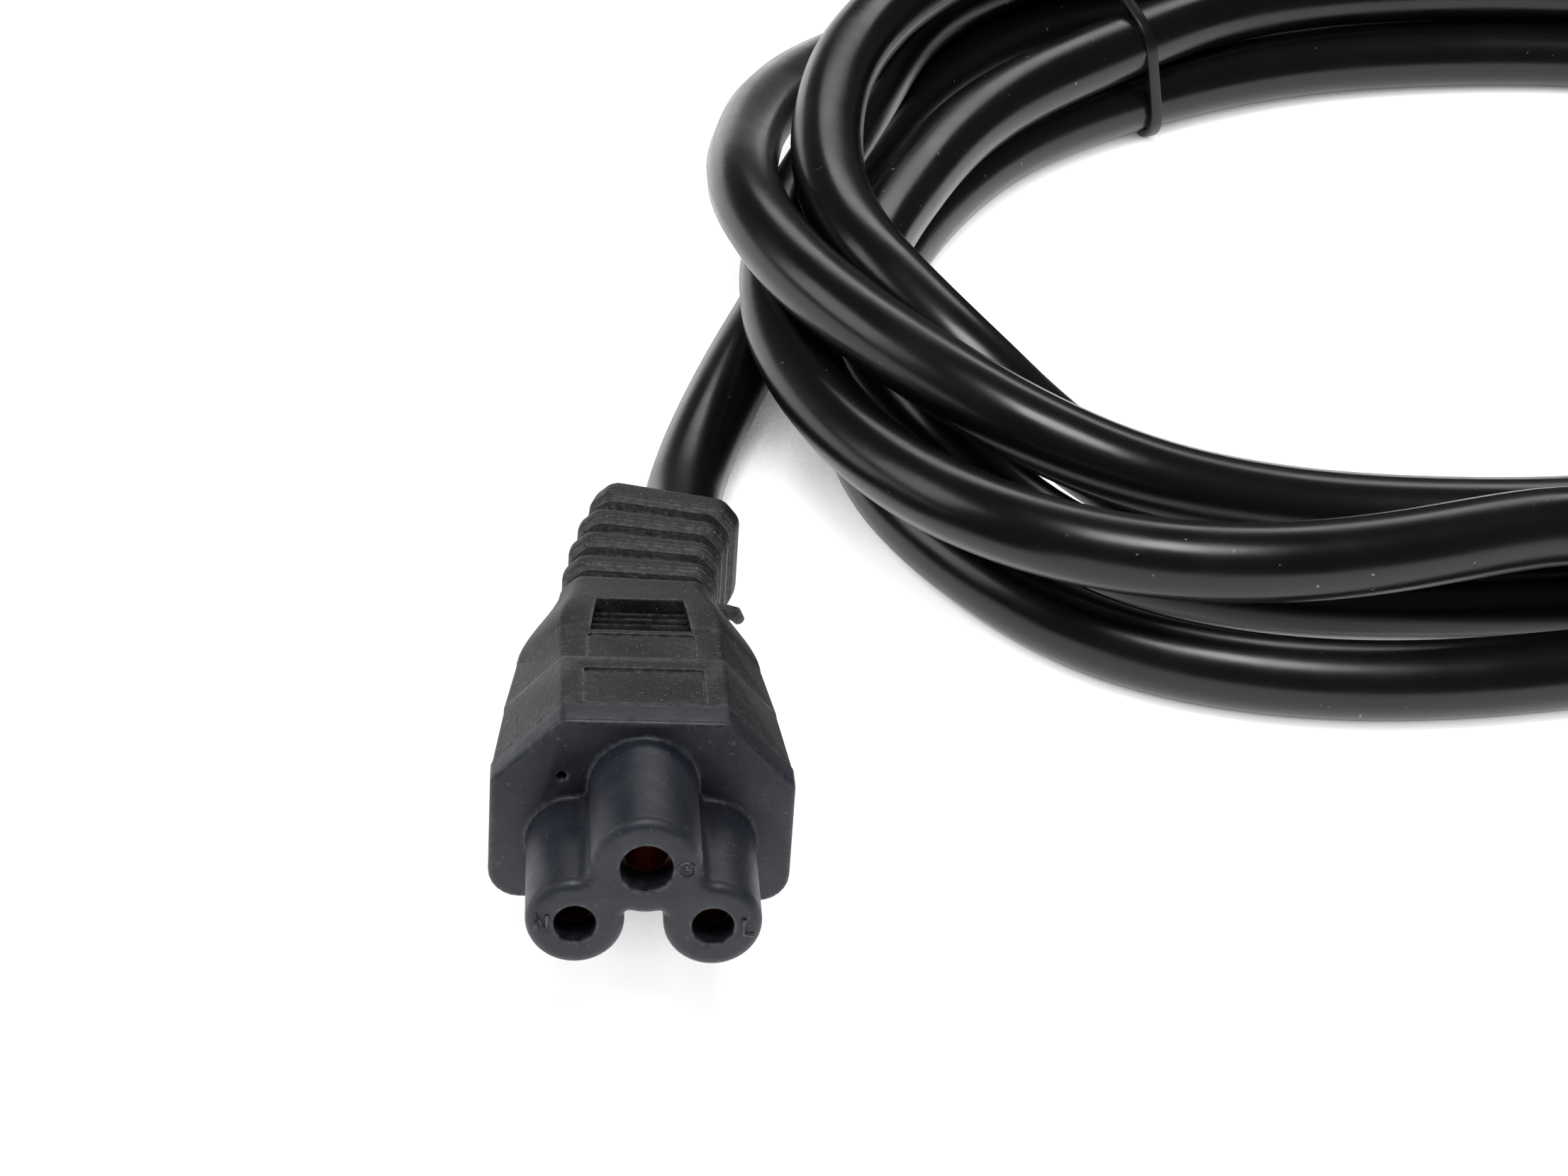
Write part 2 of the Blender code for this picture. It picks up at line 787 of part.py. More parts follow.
def make_carrier(name, place, turn):
    carrier = bpy.data.objects.new(name, None)
    bpy.context.scene.collection.objects.link(carrier)
    carrier.location = place
    carrier.rotation_euler = turn
    return carrier


def main():
    clear_scene()
    insert_plastic = make_material("insert_plastic", (0.026, 0.030, 0.038), 0.48)
    body_plastic = make_material("body_plastic", (0.036, 0.036, 0.038), 0.62)
    cable_plastic = make_material("cable_plastic", (0.012, 0.012, 0.013), 0.34)
    tie_plastic = make_material("tie_plastic", (0.015, 0.015, 0.016), 0.5)
    contact_brass = make_material("contact_brass", (0.62, 0.40, 0.18), 0.3, 1.0)
    plug_metal = make_material("plug_metal", (0.72, 0.71, 0.68), 0.25, 1.0)

    connector = make_carrier("connector_carrier", (0, 0, 0), (math.radians(90) - nose_tilt, 0, 0))
    make_insert(connector, insert_plastic)
    make_body(connector, body_plastic)
    make_contacts(connector, contact_brass)
    stand_on_origin(connector, ["connector_insert", "connector_body", "nose_shape"])

    exit_point = connector.matrix_world @ relief_bent(Vector((0, 0, relief_end - clearance)))
    beyond = connector.matrix_world @ relief_bent(Vector((0, 0, relief_end - cable_diameter)))
    exit_way = (beyond - exit_point).normalized()
    lead = [exit_point, exit_point + exit_way * straight_exit]
    lead += [Vector(point) * MM for point in lead_bends]
    make_cable("cord_lead", lead, cable_plastic)
    make_coil(cable_plastic)
    make_tie(tie_plastic)

    plug = make_carrier("plug_carrier", (plug_across, plug_along, 0), (0, 0, plug_turn))
    make_plug(plug, body_plastic, insert_plastic, plug_metal)
    bpy.context.view_layer.update()
    plug_entry = Vector((0, -(plug_neck_length + plug_relief_length + clearance), plug_relief_height / 2))
    entry_point = plug.matrix_world @ plug_entry
    tail = [Vector(point) * MM for point in tail_bends]
    tail.append(entry_point)
    make_cable("cord_tail", tail, cable_plastic)


main()
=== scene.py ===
"""Dresses the mains lead: the turns of its cable, tie strip, connector, finishes, light and camera."""

import math

import bmesh
import bpy
import numpy as np
from mathutils import Euler, Matrix, Vector


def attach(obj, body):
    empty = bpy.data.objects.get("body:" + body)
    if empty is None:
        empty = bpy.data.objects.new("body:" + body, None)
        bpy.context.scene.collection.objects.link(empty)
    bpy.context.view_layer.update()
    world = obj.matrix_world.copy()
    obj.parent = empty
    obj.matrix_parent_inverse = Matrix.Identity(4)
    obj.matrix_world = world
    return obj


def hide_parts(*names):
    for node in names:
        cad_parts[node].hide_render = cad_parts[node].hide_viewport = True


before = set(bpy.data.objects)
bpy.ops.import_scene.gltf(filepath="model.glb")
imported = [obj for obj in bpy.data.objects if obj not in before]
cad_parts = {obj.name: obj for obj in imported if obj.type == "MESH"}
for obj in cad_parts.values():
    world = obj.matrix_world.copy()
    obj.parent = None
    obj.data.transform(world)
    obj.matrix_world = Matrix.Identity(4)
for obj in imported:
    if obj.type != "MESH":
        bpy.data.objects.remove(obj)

# Lengths are in millimetres, and MM turns them into metres
MM = 0.001
root = "root"

# Camera, found from the connector's own points
photo_width = 2212
sensor_width = 36.0
focal_pixels = 4876
camera_place = Vector((-9.01, -184.04, 167.94)) * MM
camera_azimuth = math.radians(5.77)
camera_pitch = math.radians(38.77)
camera_roll = math.radians(5.13)
nearest_seen = 10
farthest_seen = 10000

# Cable
cable_diameter = 6.1
floor_height = cable_diameter / 2
cable_sides = 28
fine_steps = 16
point_gap = 4.0
show_gap = 1.6

# How the strands settle: their centre lines' least distance, pull towards the chosen place,
# evening of bends, tightest bend and its easing, length within which a strand doesn't push itself,
# and points that stay where they are at each end
relax_rounds = 300
least_distance = 6.3
hold_home = 0.035
bend_easing = 0.8
least_bend = 25.0
tight_easing = 0.25
own_stretch = 30
fixed_at_start = 3
fixed_at_end = 4

# The coil's oval, seen from above
coil_across = 79.5
coil_along = 64.0
coil_half_length = 63.0
coil_half_width = 45.8
coil_squareness = 2.3
coil_turn = math.radians(9)
turn_step = 8.0

# Where the cable leaves the connector and enters the plug
lead_points = [(2.80, 23.98, 4.47), (3.55, 26.33, 4.03), (4.7, 34.1, 3.1), (6.5, 40.3, 3.05)]
tail_points = [
    (105.5, 121.0, 3.05),
    (126.4, 117.8, 3.05),
    (140, 116.8, 3.05),
    (158, 114, 3.05),
    (176, 104, 3.05),
    (186.4, 91, 3.2),
    (189, 77, 4.7),
    (189, 69.6, 4.7),
]

# The turns as (angle, way out from the oval, height of the centre line), with a falling angle
low = floor_height
turns = [
    # under everything, from the connector along the left and the far side
    (192, 8.8, low), (186, 4.5, low), (180, 1.8, low), (173, 0.2, low), (166, -0.3, low), (160, 0.2, low),
    (152, 2.7, low), (145, 4.2, low), (136, 5.8, low), (120, 5.5, low), (100, 3.0, low), (75, 1.3, low),
    (45, 1.3, low), (0, 1.5, low), (-45, 2.5, low), (-80, 3.0, low), (-100, 4.1, low), (-107, 5.4, low),
    (-113, 6.3, low), (-123, 7.9, low), (-132, 8.7, low), (-137, 8.5, low), (-143, 6.8, low),
    (-151, 4.9, low), (-155, 3.8, low), (-162, 0.7, low), (-166, -0.9, low), (-173, -3.3, low),
    (-180, -5.6, low),
    # along the inside of the far side
    (-187, -7.6, low), (-193, -8.5, low), (-213, -8.7, low), (-223, -8.4, low), (-232, -7.7, low),
    (-240, -6.9, low), (-256, -5.7, low), (-273, -5.4, low), (-285, -5.2, low), (-320, -5.2, low),
    (-360, -5.0, low), (-400, -5.0, low), (-440, -5.0, low), (-458, -4.9, low), (-465, -4.3, low),
    (-472, -4.0, low), (-484, -2.1, low), (-490, -1.4, low), (-496, -0.8, low), (-502, 0.0, 3.6),
    (-507, 0.4, 5.6), (-512, 0.6, 7.8), (-518, 0.7, 9.0), (-524, 0.2, 9.3), (-530, -1.5, 9.3),
    (-536, -4.3, 9.3),
    # second layer, then in a long hump over the near side
    (-541, -6.7, 9.3), (-555, -8.9, 9.3), (-572, -9.0, 9.2), (-579, -8.8, 9.2), (-586, -7.9, 9.2),
    (-592, -6.2, 9.1), (-600, -4.4, 8.8), (-608, -3.1, 8.6), (-625, -2.0, 8.4), (-645, -1.8, 8.3),
    (-680, -1.8, 8.3), (-720, -1.8, 8.3), (-760, -1.2, 8.4), (-800, -0.9, 8.8), (-811, -2.2, 11.2),
    (-818, -2.2, 12.3), (-829, 0.6, 12.6), (-840, 4.8, 12.6), (-849, 8.5, 12.6), (-855, 10.6, 12.5),
    (-860, 11.0, 12.2), (-865, 10.5, 11.4), (-869, 9.4, 10.4), (-874, 8.1, 9.6), (-879, 7.5, 9.3),
    (-884, 6.8, 9.2), (-887, 6.3, 9.2), (-894, 4.6, 9.2), (-900, 2.4, 9.2),
    # outside of the far side, and down to the inside of the near side
    (-907, 0.4, 9.2), (-914, 0.0, 9.2), (-920, 1.0, 9.2), (-928, 4.4, 9.0), (-935, 6.6, 8.8),
    (-944, 8.4, 8.8), (-960, 7.4, 8.8), (-985, 5.4, 8.7), (-1010, 5.0, 8.8), (-1040, 5.0, 8.8),
    (-1060, 4.4, 9.2), (-1075, 2.0, 12.6), (-1090, -2.0, 14.3), (-1105, -7.0, 12.0), (-1120, -11.0, 7.4),
    (-1136, -12.5, 3.6), (-1160, -12.8, low), (-1178, -12.6, low), (-1190, -11.2, low),
    (-1200, -9.8, low), (-1210, -8.3, 3.2), (-1216, -7.6, 4.4), (-1222, -7.0, 6.4), (-1227, -5.2, 8.8),
    (-1231, -3.2, 11.2), (-1235, -1.2, 13.4), (-1240, 0.2, 15.0), (-1244, 0.3, 15.4), (-1252, 0.4, 15.4),
    (-1260, 0.1, 15.4),
    # top layer of the left and the far side
    (-1266, 0.3, 15.4), (-1274, 0.9, 15.3), (-1285, 2.4, 15.0), (-1295, 4.4, 14.8), (-1306, 5.6, 14.6),
    (-1320, 3.6, 14.0), (-1345, 1.8, 13.8), (-1366, 2.2, 14.0), (-1385, 5.2, 14.6), (-1400, 8.6, 12.2),
    (-1415, 10.0, 8.0), (-1430, 8.8, 4.4), (-1442, 7.8, low), (-1455, 7.5, 3.3), (-1470, 6.5, 6.6),
    (-1485, 3.4, 12.2), (-1498, -1.0, 14.6), (-1510, -5.5, 12.6), (-1520, -7.6, 9.6), (-1536, -7.8, 8.6),
    (-1544, -7.5, 8.6), (-1552, -7.1, 8.6), (-1560, -5.7, 9.1), (-1569, -2.9, 10.6), (-1576, 0.2, 12.5),
    (-1582, 2.0, 14.0), (-1590, 2.8, 15.2), (-1600, 4.8, 15.4), (-1606, 6.4, 15.4), (-1613, 7.2, 14.7),
    (-1622, 6.9, 12.2), (-1626, 7.0, 11.2),
    # down to the floor outside the far side
    (-1636, 8.2, 8.0), (-1645, 9.9, 5.0), (-1654, 11.3, 3.4), (-1663, 12.4, low), (-1675, 12.2, low),
    (-1695, 10.4, low), (-1710, 9.4, low),
]

# Connector's frame: its origin is the middle of the nose's front, +Z points out of the nose
# and +Y to its upper side
nose_tilt = math.radians(10.6)
nose_front = Vector((0, -24.698, 13.580)) * MM
nose_turn = Euler((math.radians(90) - nose_tilt, 0, 0)).to_matrix().to_4x4()
connector = Matrix.Translation(nose_front) @ nose_turn

# Shapes: where points are one, and the angles from which an edge is broken and is shaded sharp
weld_distance = 0.0005
break_angle = math.radians(38)
sharp_angle = math.radians(40)

# Nose
pole_spacing = 8.9
earth_rise = 4.3
pole_lobe_radius = 3.2
earth_lobe_radius = 3.6
web_fillet = 0.9
notch_fillet = 0.35
nose_length = 10.2
nose_edge_round = 0.8
root_fillet = 0.3
root_depth = 0.5
pole_hole_radius = 1.36
earth_hole_radius = 1.7
hole_depth = 9.9
hole_edge_round = 0.12
hole_sides = 64

# Steps along the arcs of the nose's outline, and round a housing's corner
earth_lobe_steps = 40
pole_lobe_steps = 44
web_steps = 10
notch_steps = 8
corner_steps = 6

# Flange
flange_half_width = 10.15
flange_top = 7.0
flange_top_half = 5.5
flange_shoulder = 2.3
flange_bottom = 6.95
flange_corner_round = 2.1
flange_thickness = 2.3
flange_edge_round = 0.35
flange_back_bevel = 0.15
vent_radius = 0.3
vent_depth = 1.0
vent_place = (-5.4, 2.7)

# Body
body_inset = 0.1
bevel_round = 0.8
body_front = -nose_length - flange_thickness - 0.02
platform_end = -19.4
grip_end = -25.5
grip_half_width = 8.6
grip_top = 5.6
grip_bottom = 6.1
neck = -34.2
body_edge_break = 0.1

# Front edge of the body, as way back and inset
body_front_profile = [(0.0, 0.12), (0.04, 0.03), (0.15, 0.0)]

# Back edge of the raised platform, as way back from its end and way down from its top,
# and the foot of its slope, as way back and way up from the grip's top
platform_profile = [(-0.2, 0.16), (0.0, 0.26), (0.3, 0.75)]
platform_foot = (0.45, 0.15)

# Shoulder from the grip to the neck: sections, swell of its top, lift at its end, gap before the neck
shoulder_sections = 14
shoulder_swell = 1.8
shoulder_lift = 0.25
shoulder_gap = 0.1

# Window and panel as (width, length, depth), each this far behind the edge in front of it
label_window = (8.1, 4.8, 0.32)
label_margin = 0.35
panel = (7.4, 4.3, 0.12)
panel_margin = 0.8
pocket_corner_round = 0.25

# Thumb pocket
thumb_back_width = 6.1
thumb_front_width = 7.1
thumb_front = grip_end + 0.5
thumb_swell = 0.12

# Saw-teeth of the thumb pocket, from its front to its back: way back from the front, depth
thumb_profile = [
    (0.0, 0.0), (0.98, 0.66), (1.04, 0.16), (1.94, 0.8), (2.0, 0.26), (2.9, 0.92), (2.96, 0.36),
    (4.3, 1.2), (4.45, 0.0),
]

# Strain relief
relief_half_width = 5.7
relief_half_height = 4.6
relief_corner_round = 2.2
relief_bevel_share = 0.6
groove_pitch = 3.55
groove_width = 1.6
groove_depth = 0.9
groove_count = 4
relief_end = -49.9
relief_end_round = 1.2
relief_bend = math.radians(17)
bend_start = -31.1
bend_end = -49.5
bend_radius = (bend_start - bend_end) / relief_bend

# Neck's edge above the first groove, as way back and inset
neck_profile = [(-0.03, 0.04), (0.0, 0.14), (0.04, groove_depth)]

# One rib of the strain relief, from its front edge to its back edge, as way back and inset
rib_profile = [
    (0.0, groove_depth), (0.06, 0.42), (0.14, 0.24), (0.3, 0.14), (0.46, 0.17), (0.56, 0.3), (0.66, 0.32),
    (0.78, 0.14), (0.95, 0.03), (1.15, 0.0), (1.6, 0.0), (1.78, 0.03), (1.88, 0.12), (1.93, 0.3),
]

# The end cap has a rib's front edge only, up to here
cap_edge = 1.2

# Gate stub on the right side: its root and three points along it, and its thinner end
gate_points = [(5.0, 2.75, -33.4), (6.5, 2.6, -33.5), (7.1, 2.4, -33.6), (7.45, 1.8, -33.8)]
gate_radius = 0.55
gate_end_share = 0.75
gate_sides = 20

# Tie strip: it grips the strands that pass within strand_reach of the oval, and runs under them,
# so that they are lifted a little near it
tie_angle = math.radians(133)
tie_width = 1.15
tie_thickness = 0.75
tie_lean = 0.17
tie_grip = 0.05
tie_edge_break = 0.2
tie_points = 160
strand_sides = 72
strand_reach = 20
strand_lift = 0.45
lift_reach = 30.0


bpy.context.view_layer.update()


# Camera

def make_camera():
    ahead = Vector((
        math.sin(camera_azimuth) * math.cos(camera_pitch),
        math.cos(camera_azimuth) * math.cos(camera_pitch),
        -math.sin(camera_pitch),
    ))
    level = Vector((math.cos(camera_azimuth), -math.sin(camera_azimuth), 0))
    upright = level.cross(ahead)
    right = level * math.cos(camera_roll) + upright * math.sin(camera_roll)
    up = upright * math.cos(camera_roll) - level * math.sin(camera_roll)
    camera = bpy.data.objects.new("camera", bpy.data.cameras.new("camera"))
    bpy.context.scene.collection.objects.link(camera)
    axes = Matrix((right, up, -ahead)).transposed().to_4x4()
    camera.matrix_world = Matrix.Translation(camera_place) @ axes
    camera.data.sensor_width = sensor_width
    camera.data.lens = focal_pixels * sensor_width / photo_width
    camera.data.clip_start = nearest_seen * MM
    camera.data.clip_end = farthest_seen * MM
    bpy.context.scene.camera = camera


make_camera()


# Cable

def oval_frame(angle):
    """A point of the coil's oval and the way out of the coil there."""
    own = angle - coil_turn
    across = abs(math.cos(own)) / coil_half_length
    along = abs(math.sin(own)) / coil_half_width
    reach = (across**coil_squareness + along**coil_squareness) ** (-1 / coil_squareness)
    middle = np.array([coil_across + reach * math.cos(angle), coil_along + reach * math.sin(angle), 0])
    outward = Vector((
        math.copysign(across ** (coil_squareness - 1) / coil_half_length, math.cos(own)),
        math.copysign(along ** (coil_squareness - 1) / coil_half_width, math.sin(own)),
        0,
    )).normalized()
    outward.rotate(Euler((0, 0, coil_turn)))
    return middle, np.array(outward)


def slopes(places, values):
    """The slope of a smooth line at each of its places."""
    steps = np.diff(places)
    rises = np.diff(values) / steps
    inner = (rises[:-1] * steps[1:] + rises[1:] * steps[:-1]) / (steps[:-1] + steps[1:])
    return np.concatenate([rises[:1], inner, rises[-1:]])


def smooth_values(places, values, wanted):
    """Cubic Hermite interpolation."""
    slope = slopes(places, values)
    index = np.clip(np.searchsorted(places, wanted, side="right") - 1, 0, len(places) - 2)
    step = places[index + 1] - places[index]
    t = (wanted - places[index]) / step
    return (
        (2 * t**3 - 3 * t**2 + 1) * values[index]
        + (t**3 - 2 * t**2 + t) * step * slope[index]
        + (3 * t**2 - 2 * t**3) * values[index + 1]
        + (t**3 - t**2) * step * slope[index + 1]
    )


def coil_points():
    keys = np.array(turns)
    gone = -keys[:, 0]
    count = round((gone[-1] - gone[0]) / turn_step)
    wanted = np.linspace(gone[0], gone[-1], count + 1)
    ways = smooth_values(gone, keys[:, 1], wanted)
    heights = smooth_values(gone, keys[:, 2], wanted)
    points = []
    for angle, way, height in zip(wanted, ways, heights):
        middle, outward = oval_frame(math.radians(-angle))
        point = middle + outward * way
        point[2] = max(height, floor_height)
        points.append(point)
    return points


def smooth_route(points, gap):
    """Evenly spaced points of a Catmull-Rom curve through the given ones."""
    given = [np.array(point, float) for point in points]
    padded = [2 * given[0] - given[1]] + given + [2 * given[-1] - given[-2]]
    fine = []
    for index in range(1, len(padded) - 2):
        before, start, end, after = padded[index - 1 : index + 3]
        for step in range(fine_steps):
            t = step / fine_steps
            fine.append(
                0.5
                * (
                    2 * start
                    + (end - before) * t
                    + (2 * before - 5 * start + 4 * end - after) * t**2
                    + (3 * start - before - 3 * end + after) * t**3
                )
            )
    fine.append(given[-1])
    fine = np.array(fine)
    run = np.concatenate([[0], np.cumsum(np.linalg.norm(np.diff(fine, axis=0), axis=1))])
    marks = np.linspace(0, run[-1], round(run[-1] / gap) + 1)
    return np.stack([np.interp(marks, run, fine[:, axis]) for axis in range(3)], 1)


def tie_distance(points):
    """How far each point is from the tie's middle, on the floor."""
    middle, _ = oval_frame(tie_angle)
    return np.linalg.norm((points - middle)[:, :2], axis=1)


def relaxed(points):
    """Pushes strands apart where they lie in each other, and evens out the bends between."""
    home = points.copy()
    order = np.arange(len(points))
    lowest = floor_height + strand_lift * np.exp(-((tie_distance(points) / lift_reach) ** 2))
    apart = np.abs(np.subtract.outer(order, order)) * point_gap > own_stretch
    for _ in range(relax_rounds):
        between = points[:, None, :] - points[None, :, :]
        distance = np.linalg.norm(between, axis=2) + 1e-9
        near = apart & (distance < least_distance)
        push = np.where(near, (least_distance - distance) / distance, 0)[:, :, None] * between
        points = points + 0.5 * push.sum(1) / np.maximum(near.sum(1), 1)[:, None]
        bend = np.zeros_like(points)
        bend[2:-2] = points[:-4] - 4 * points[1:-3] + 6 * points[2:-2] - 4 * points[3:-1] + points[4:]
        points = points - bend_easing * bend / 16 + hold_home * (home - points)
        turn = points[2:] - 2 * points[1:-1] + points[:-2]
        tight = np.linalg.norm(turn, axis=1) > point_gap**2 / least_bend
        points[1:-1] += tight_easing * turn * tight[:, None]
        points[:fixed_at_start] = home[:fixed_at_start]
        points[-fixed_at_end:] = home[-fixed_at_end:]
        points[:, 2] = np.maximum(points[:, 2], lowest)
    return points


def cable_route():
    rough = smooth_route(lead_points + coil_points() + tail_points, point_gap)
    return smooth_route(list(relaxed(rough)), show_gap)


def make_cord(route, finish):
    curve = bpy.data.curves.new("cable", "CURVE")
    curve.dimensions = "3D"
    curve.bevel_depth = cable_diameter / 2 * MM
    curve.bevel_resolution = cable_sides // 4 - 2
    curve.use_fill_caps = True
    spline = curve.splines.new("POLY")
    spline.points.add(len(route) - 1)
    for place, point in zip(spline.points, route):
        place.co = (*(point * MM), 1.0)
    curve.materials.append(finish)
    cable = bpy.data.objects.new("cable", curve)
    bpy.context.scene.collection.objects.link(cable)
    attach(cable, root)
    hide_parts("cord_lead", "cord_coil", "cord_tail")


# Connector

def arc(centre, radius, start, end, steps):
    points = []
    for step in range(steps + 1):
        angle = start + (end - start) * step / steps
        points.append((centre[0] + radius * math.cos(angle), centre[1] + radius * math.sin(angle)))
    return points


def circle(centre, radius, sides):
    return arc(centre, radius, 0, 2 * math.pi * (sides - 1) / sides, sides - 1)


def rounded_polygon(corners, radii, steps):
    """A counterclockwise outline whose corners are arcs of the given radii."""
    outline = []
    for index, corner in enumerate(corners):
        here = Vector(corner)
        back = (Vector(corners[index - 1]) - here).normalized()
        ahead = (Vector(corners[(index + 1) % len(corners)]) - here).normalized()
        half_angle = back.angle(ahead) / 2
        middle = here + (back + ahead).normalized() * radii[index] / math.sin(half_angle)
        first = here + back * radii[index] / math.tan(half_angle) - middle
        start = math.atan2(first.y, first.x)
        outline += arc(middle, radii[index], start, start + math.pi - 2 * half_angle, steps)
    return outline


def housing_outline(half_width, top_half, top, shoulder, bottom, corner_round, edge_round):
    """Flat top, two bevels down to the shoulders, rounded lower corners."""
    corners = [
        (half_width, -bottom),
        (half_width, shoulder),
        (top_half, top),
        (-top_half, top),
        (-half_width, shoulder),
        (-half_width, -bottom),
    ]
    return rounded_polygon(corners, [corner_round] + [edge_round] * 4 + [corner_round], corner_steps)


def circles_meet(first, second, first_radius, second_radius, side):
    """Where two circles cross, on the left (1) or right (-1) of the way from first to second."""
    way = Vector(second) - Vector(first)
    distance = way.length
    along = (first_radius**2 - second_radius**2 + distance**2) / (2 * distance)
    across = math.sqrt(first_radius**2 - along**2)
    way.normalize()
    return Vector(first) + way * along + Vector((-way.y, way.x)) * across * side


def swing(centre, radius, start_point, end_point, turn, steps):
    """An arc round centre between two directions; turn is 1 for anticlockwise, -1 for clockwise."""
    start = math.atan2(start_point[1] - centre[1], start_point[0] - centre[0])
    end = math.atan2(end_point[1] - centre[1], end_point[0] - centre[0])
    if (end - start) * turn < 0:
        end += 2 * math.pi * turn
    return arc(centre, radius, start, end, steps)


earth_centre = (0.0, earth_rise / 2)
neutral_centre = (-pole_spacing / 2, -earth_rise / 2)
line_centre = (pole_spacing / 2, -earth_rise / 2)


def clover_outline(inset=0.0):
    web, notch = {}, {}
    for pole, side in ((neutral_centre, -1), (line_centre, 1)):
        reach = (earth_lobe_radius + web_fillet, pole_lobe_radius + web_fillet)
        web[pole] = circles_meet(earth_centre, pole, *reach, side)
        reach = (earth_lobe_radius + notch_fillet, pole_lobe_radius + notch_fillet)
        notch[pole] = circles_meet(earth_centre, pole, *reach, -side)
    upper = earth_lobe_radius - inset
    lower = pole_lobe_radius - inset
    left, right = neutral_centre, line_centre
    outline = swing(earth_centre, upper, web[right], web[left], 1, earth_lobe_steps)
    outline += swing(web[left], web_fillet + inset, earth_centre, left, -1, web_steps)
    outline += swing(left, lower, web[left], notch[left], 1, pole_lobe_steps)
    outline += swing(notch[left], notch_fillet + inset, left, earth_centre, -1, notch_steps)
    outline += swing(earth_centre, upper, notch[left], notch[right], 1, notch_steps)
    outline += swing(notch[right], notch_fillet + inset, earth_centre, right, -1, notch_steps)
    outline += swing(right, lower, notch[right], web[right], 1, pole_lobe_steps)
    outline += swing(web[right], web_fillet + inset, right, earth_centre, -1, web_steps)
    return outline


def ring_at(outline, z):
    return [Vector((x, y, z)) for x, y in outline]


def quarter_round(radius, steps):
    """Pairs of depth and inset from the side to the end face."""
    turn = [math.pi / 2 * step / steps for step in range(steps + 1)]
    return [(radius * (1 - math.sin(angle)), radius * (1 - math.cos(angle))) for angle in turn]


def skin(name, rings, closed=False):
    """A closed body through rings of as many points each."""
    shape = bmesh.new()
    loops = [[shape.verts.new(Vector(point) * MM) for point in ring] for ring in rings]
    for lower, upper in zip(loops, loops[1:] + loops[:1] if closed else loops[1:]):
        for index, vertex in enumerate(lower):
            after = (index + 1) % len(lower)
            shape.faces.new((vertex, lower[after], upper[after], upper[index]))
    if not closed:
        shape.faces.new(loops[0])
        shape.faces.new(loops[-1])
    bmesh.ops.remove_doubles(shape, verts=shape.verts, dist=weld_distance * MM)
    bmesh.ops.recalc_face_normals(shape, faces=shape.faces)
    mesh = bpy.data.meshes.new(name)
    shape.to_mesh(mesh)
    shape.free()
    made = bpy.data.objects.new(name, mesh)
    bpy.context.scene.collection.objects.link(made)
    return made


def combined(target, others, edge_width):
    """The target with (operation, shape) pairs carried out, its sharp edges broken, smoothly shaded."""
    for operation, shape in others:
        change = target.modifiers.new(shape.name, "BOOLEAN")
        change.operation = operation
        change.object = shape
        change.solver = "EXACT"
    if edge_width:
        bevel = target.modifiers.new("edges", "BEVEL")
        bevel.width = edge_width * MM
        bevel.segments = 3
        bevel.limit_method = "ANGLE"
        bevel.angle_limit = break_angle
        bevel.use_clamp_overlap = True
    bpy.context.view_layer.update()
    mesh = bpy.data.meshes.new_from_object(target.evaluated_get(bpy.context.evaluated_depsgraph_get()))
    name = target.name
    for spare in [target] + [shape for _, shape in others]:
        bpy.data.objects.remove(spare, do_unlink=True)
    mesh.transform(connector)
    mesh.shade_smooth()
    mesh.set_sharp_from_angle(angle=sharp_angle)
    made = bpy.data.objects.new(name, mesh)
    bpy.context.scene.collection.objects.link(made)
    return made


def dress(piece, finish, slot, *replaced):
    piece.data.materials.clear()
    piece.data.materials.append(finish)
    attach(piece, root)
    if replaced:
        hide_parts(*replaced)


def hole_cutter(name, centre, radius, floor, top):
    """A round hole with a broken edge."""
    rings = [ring_at(circle(centre, radius, hole_sides), floor)]
    for depth, inset in quarter_round(hole_edge_round, 4):
        rings.append(ring_at(circle(centre, radius + inset, hole_sides), top - depth))
    rings.append(ring_at(circle(centre, radius + hole_edge_round, hole_sides), top + 1))
    return skin(name, rings)


def flange_outline(inset):
    return housing_outline(
        flange_half_width - inset,
        flange_top_half - inset / 2,
        flange_top - inset,
        flange_shoulder - inset / 2,
        flange_bottom - inset,
        flange_corner_round - inset,
        bevel_round,
    )


def make_insert(finish):
    face = -nose_length
    back = face - flange_thickness
    flange_rings = [ring_at(flange_outline(flange_back_bevel), back)]
    flange_rings.append(ring_at(flange_outline(0.0), back + flange_back_bevel))
    for depth, inset in quarter_round(flange_edge_round, 5):
        flange_rings.append(ring_at(flange_outline(inset), face - depth))
    flange = skin("nose_insert", flange_rings)
    nose_rings = [ring_at(clover_outline(-root_fillet), face - root_depth)]
    for widening, rise in quarter_round(root_fillet, 5):
        nose_rings.append(ring_at(clover_outline(-widening), face + rise))
    for depth, inset in quarter_round(nose_edge_round, 8):
        nose_rings.append(ring_at(clover_outline(inset), -depth))
    others = [("UNION", skin("nose", nose_rings))]
    for name, centre, radius in (
        ("neutral_hole", neutral_centre, pole_hole_radius),
        ("line_hole", line_centre, pole_hole_radius),
        ("earth_hole", earth_centre, earth_hole_radius),
    ):
        others.append(("DIFFERENCE", hole_cutter(name, centre, radius, -hole_depth, 0.0)))
    others.append(("DIFFERENCE", hole_cutter("vent", vent_place, vent_radius, face - vent_depth, face)))
    dress(combined(flange, others, 0), finish, "insert_plastic", "connector_insert")


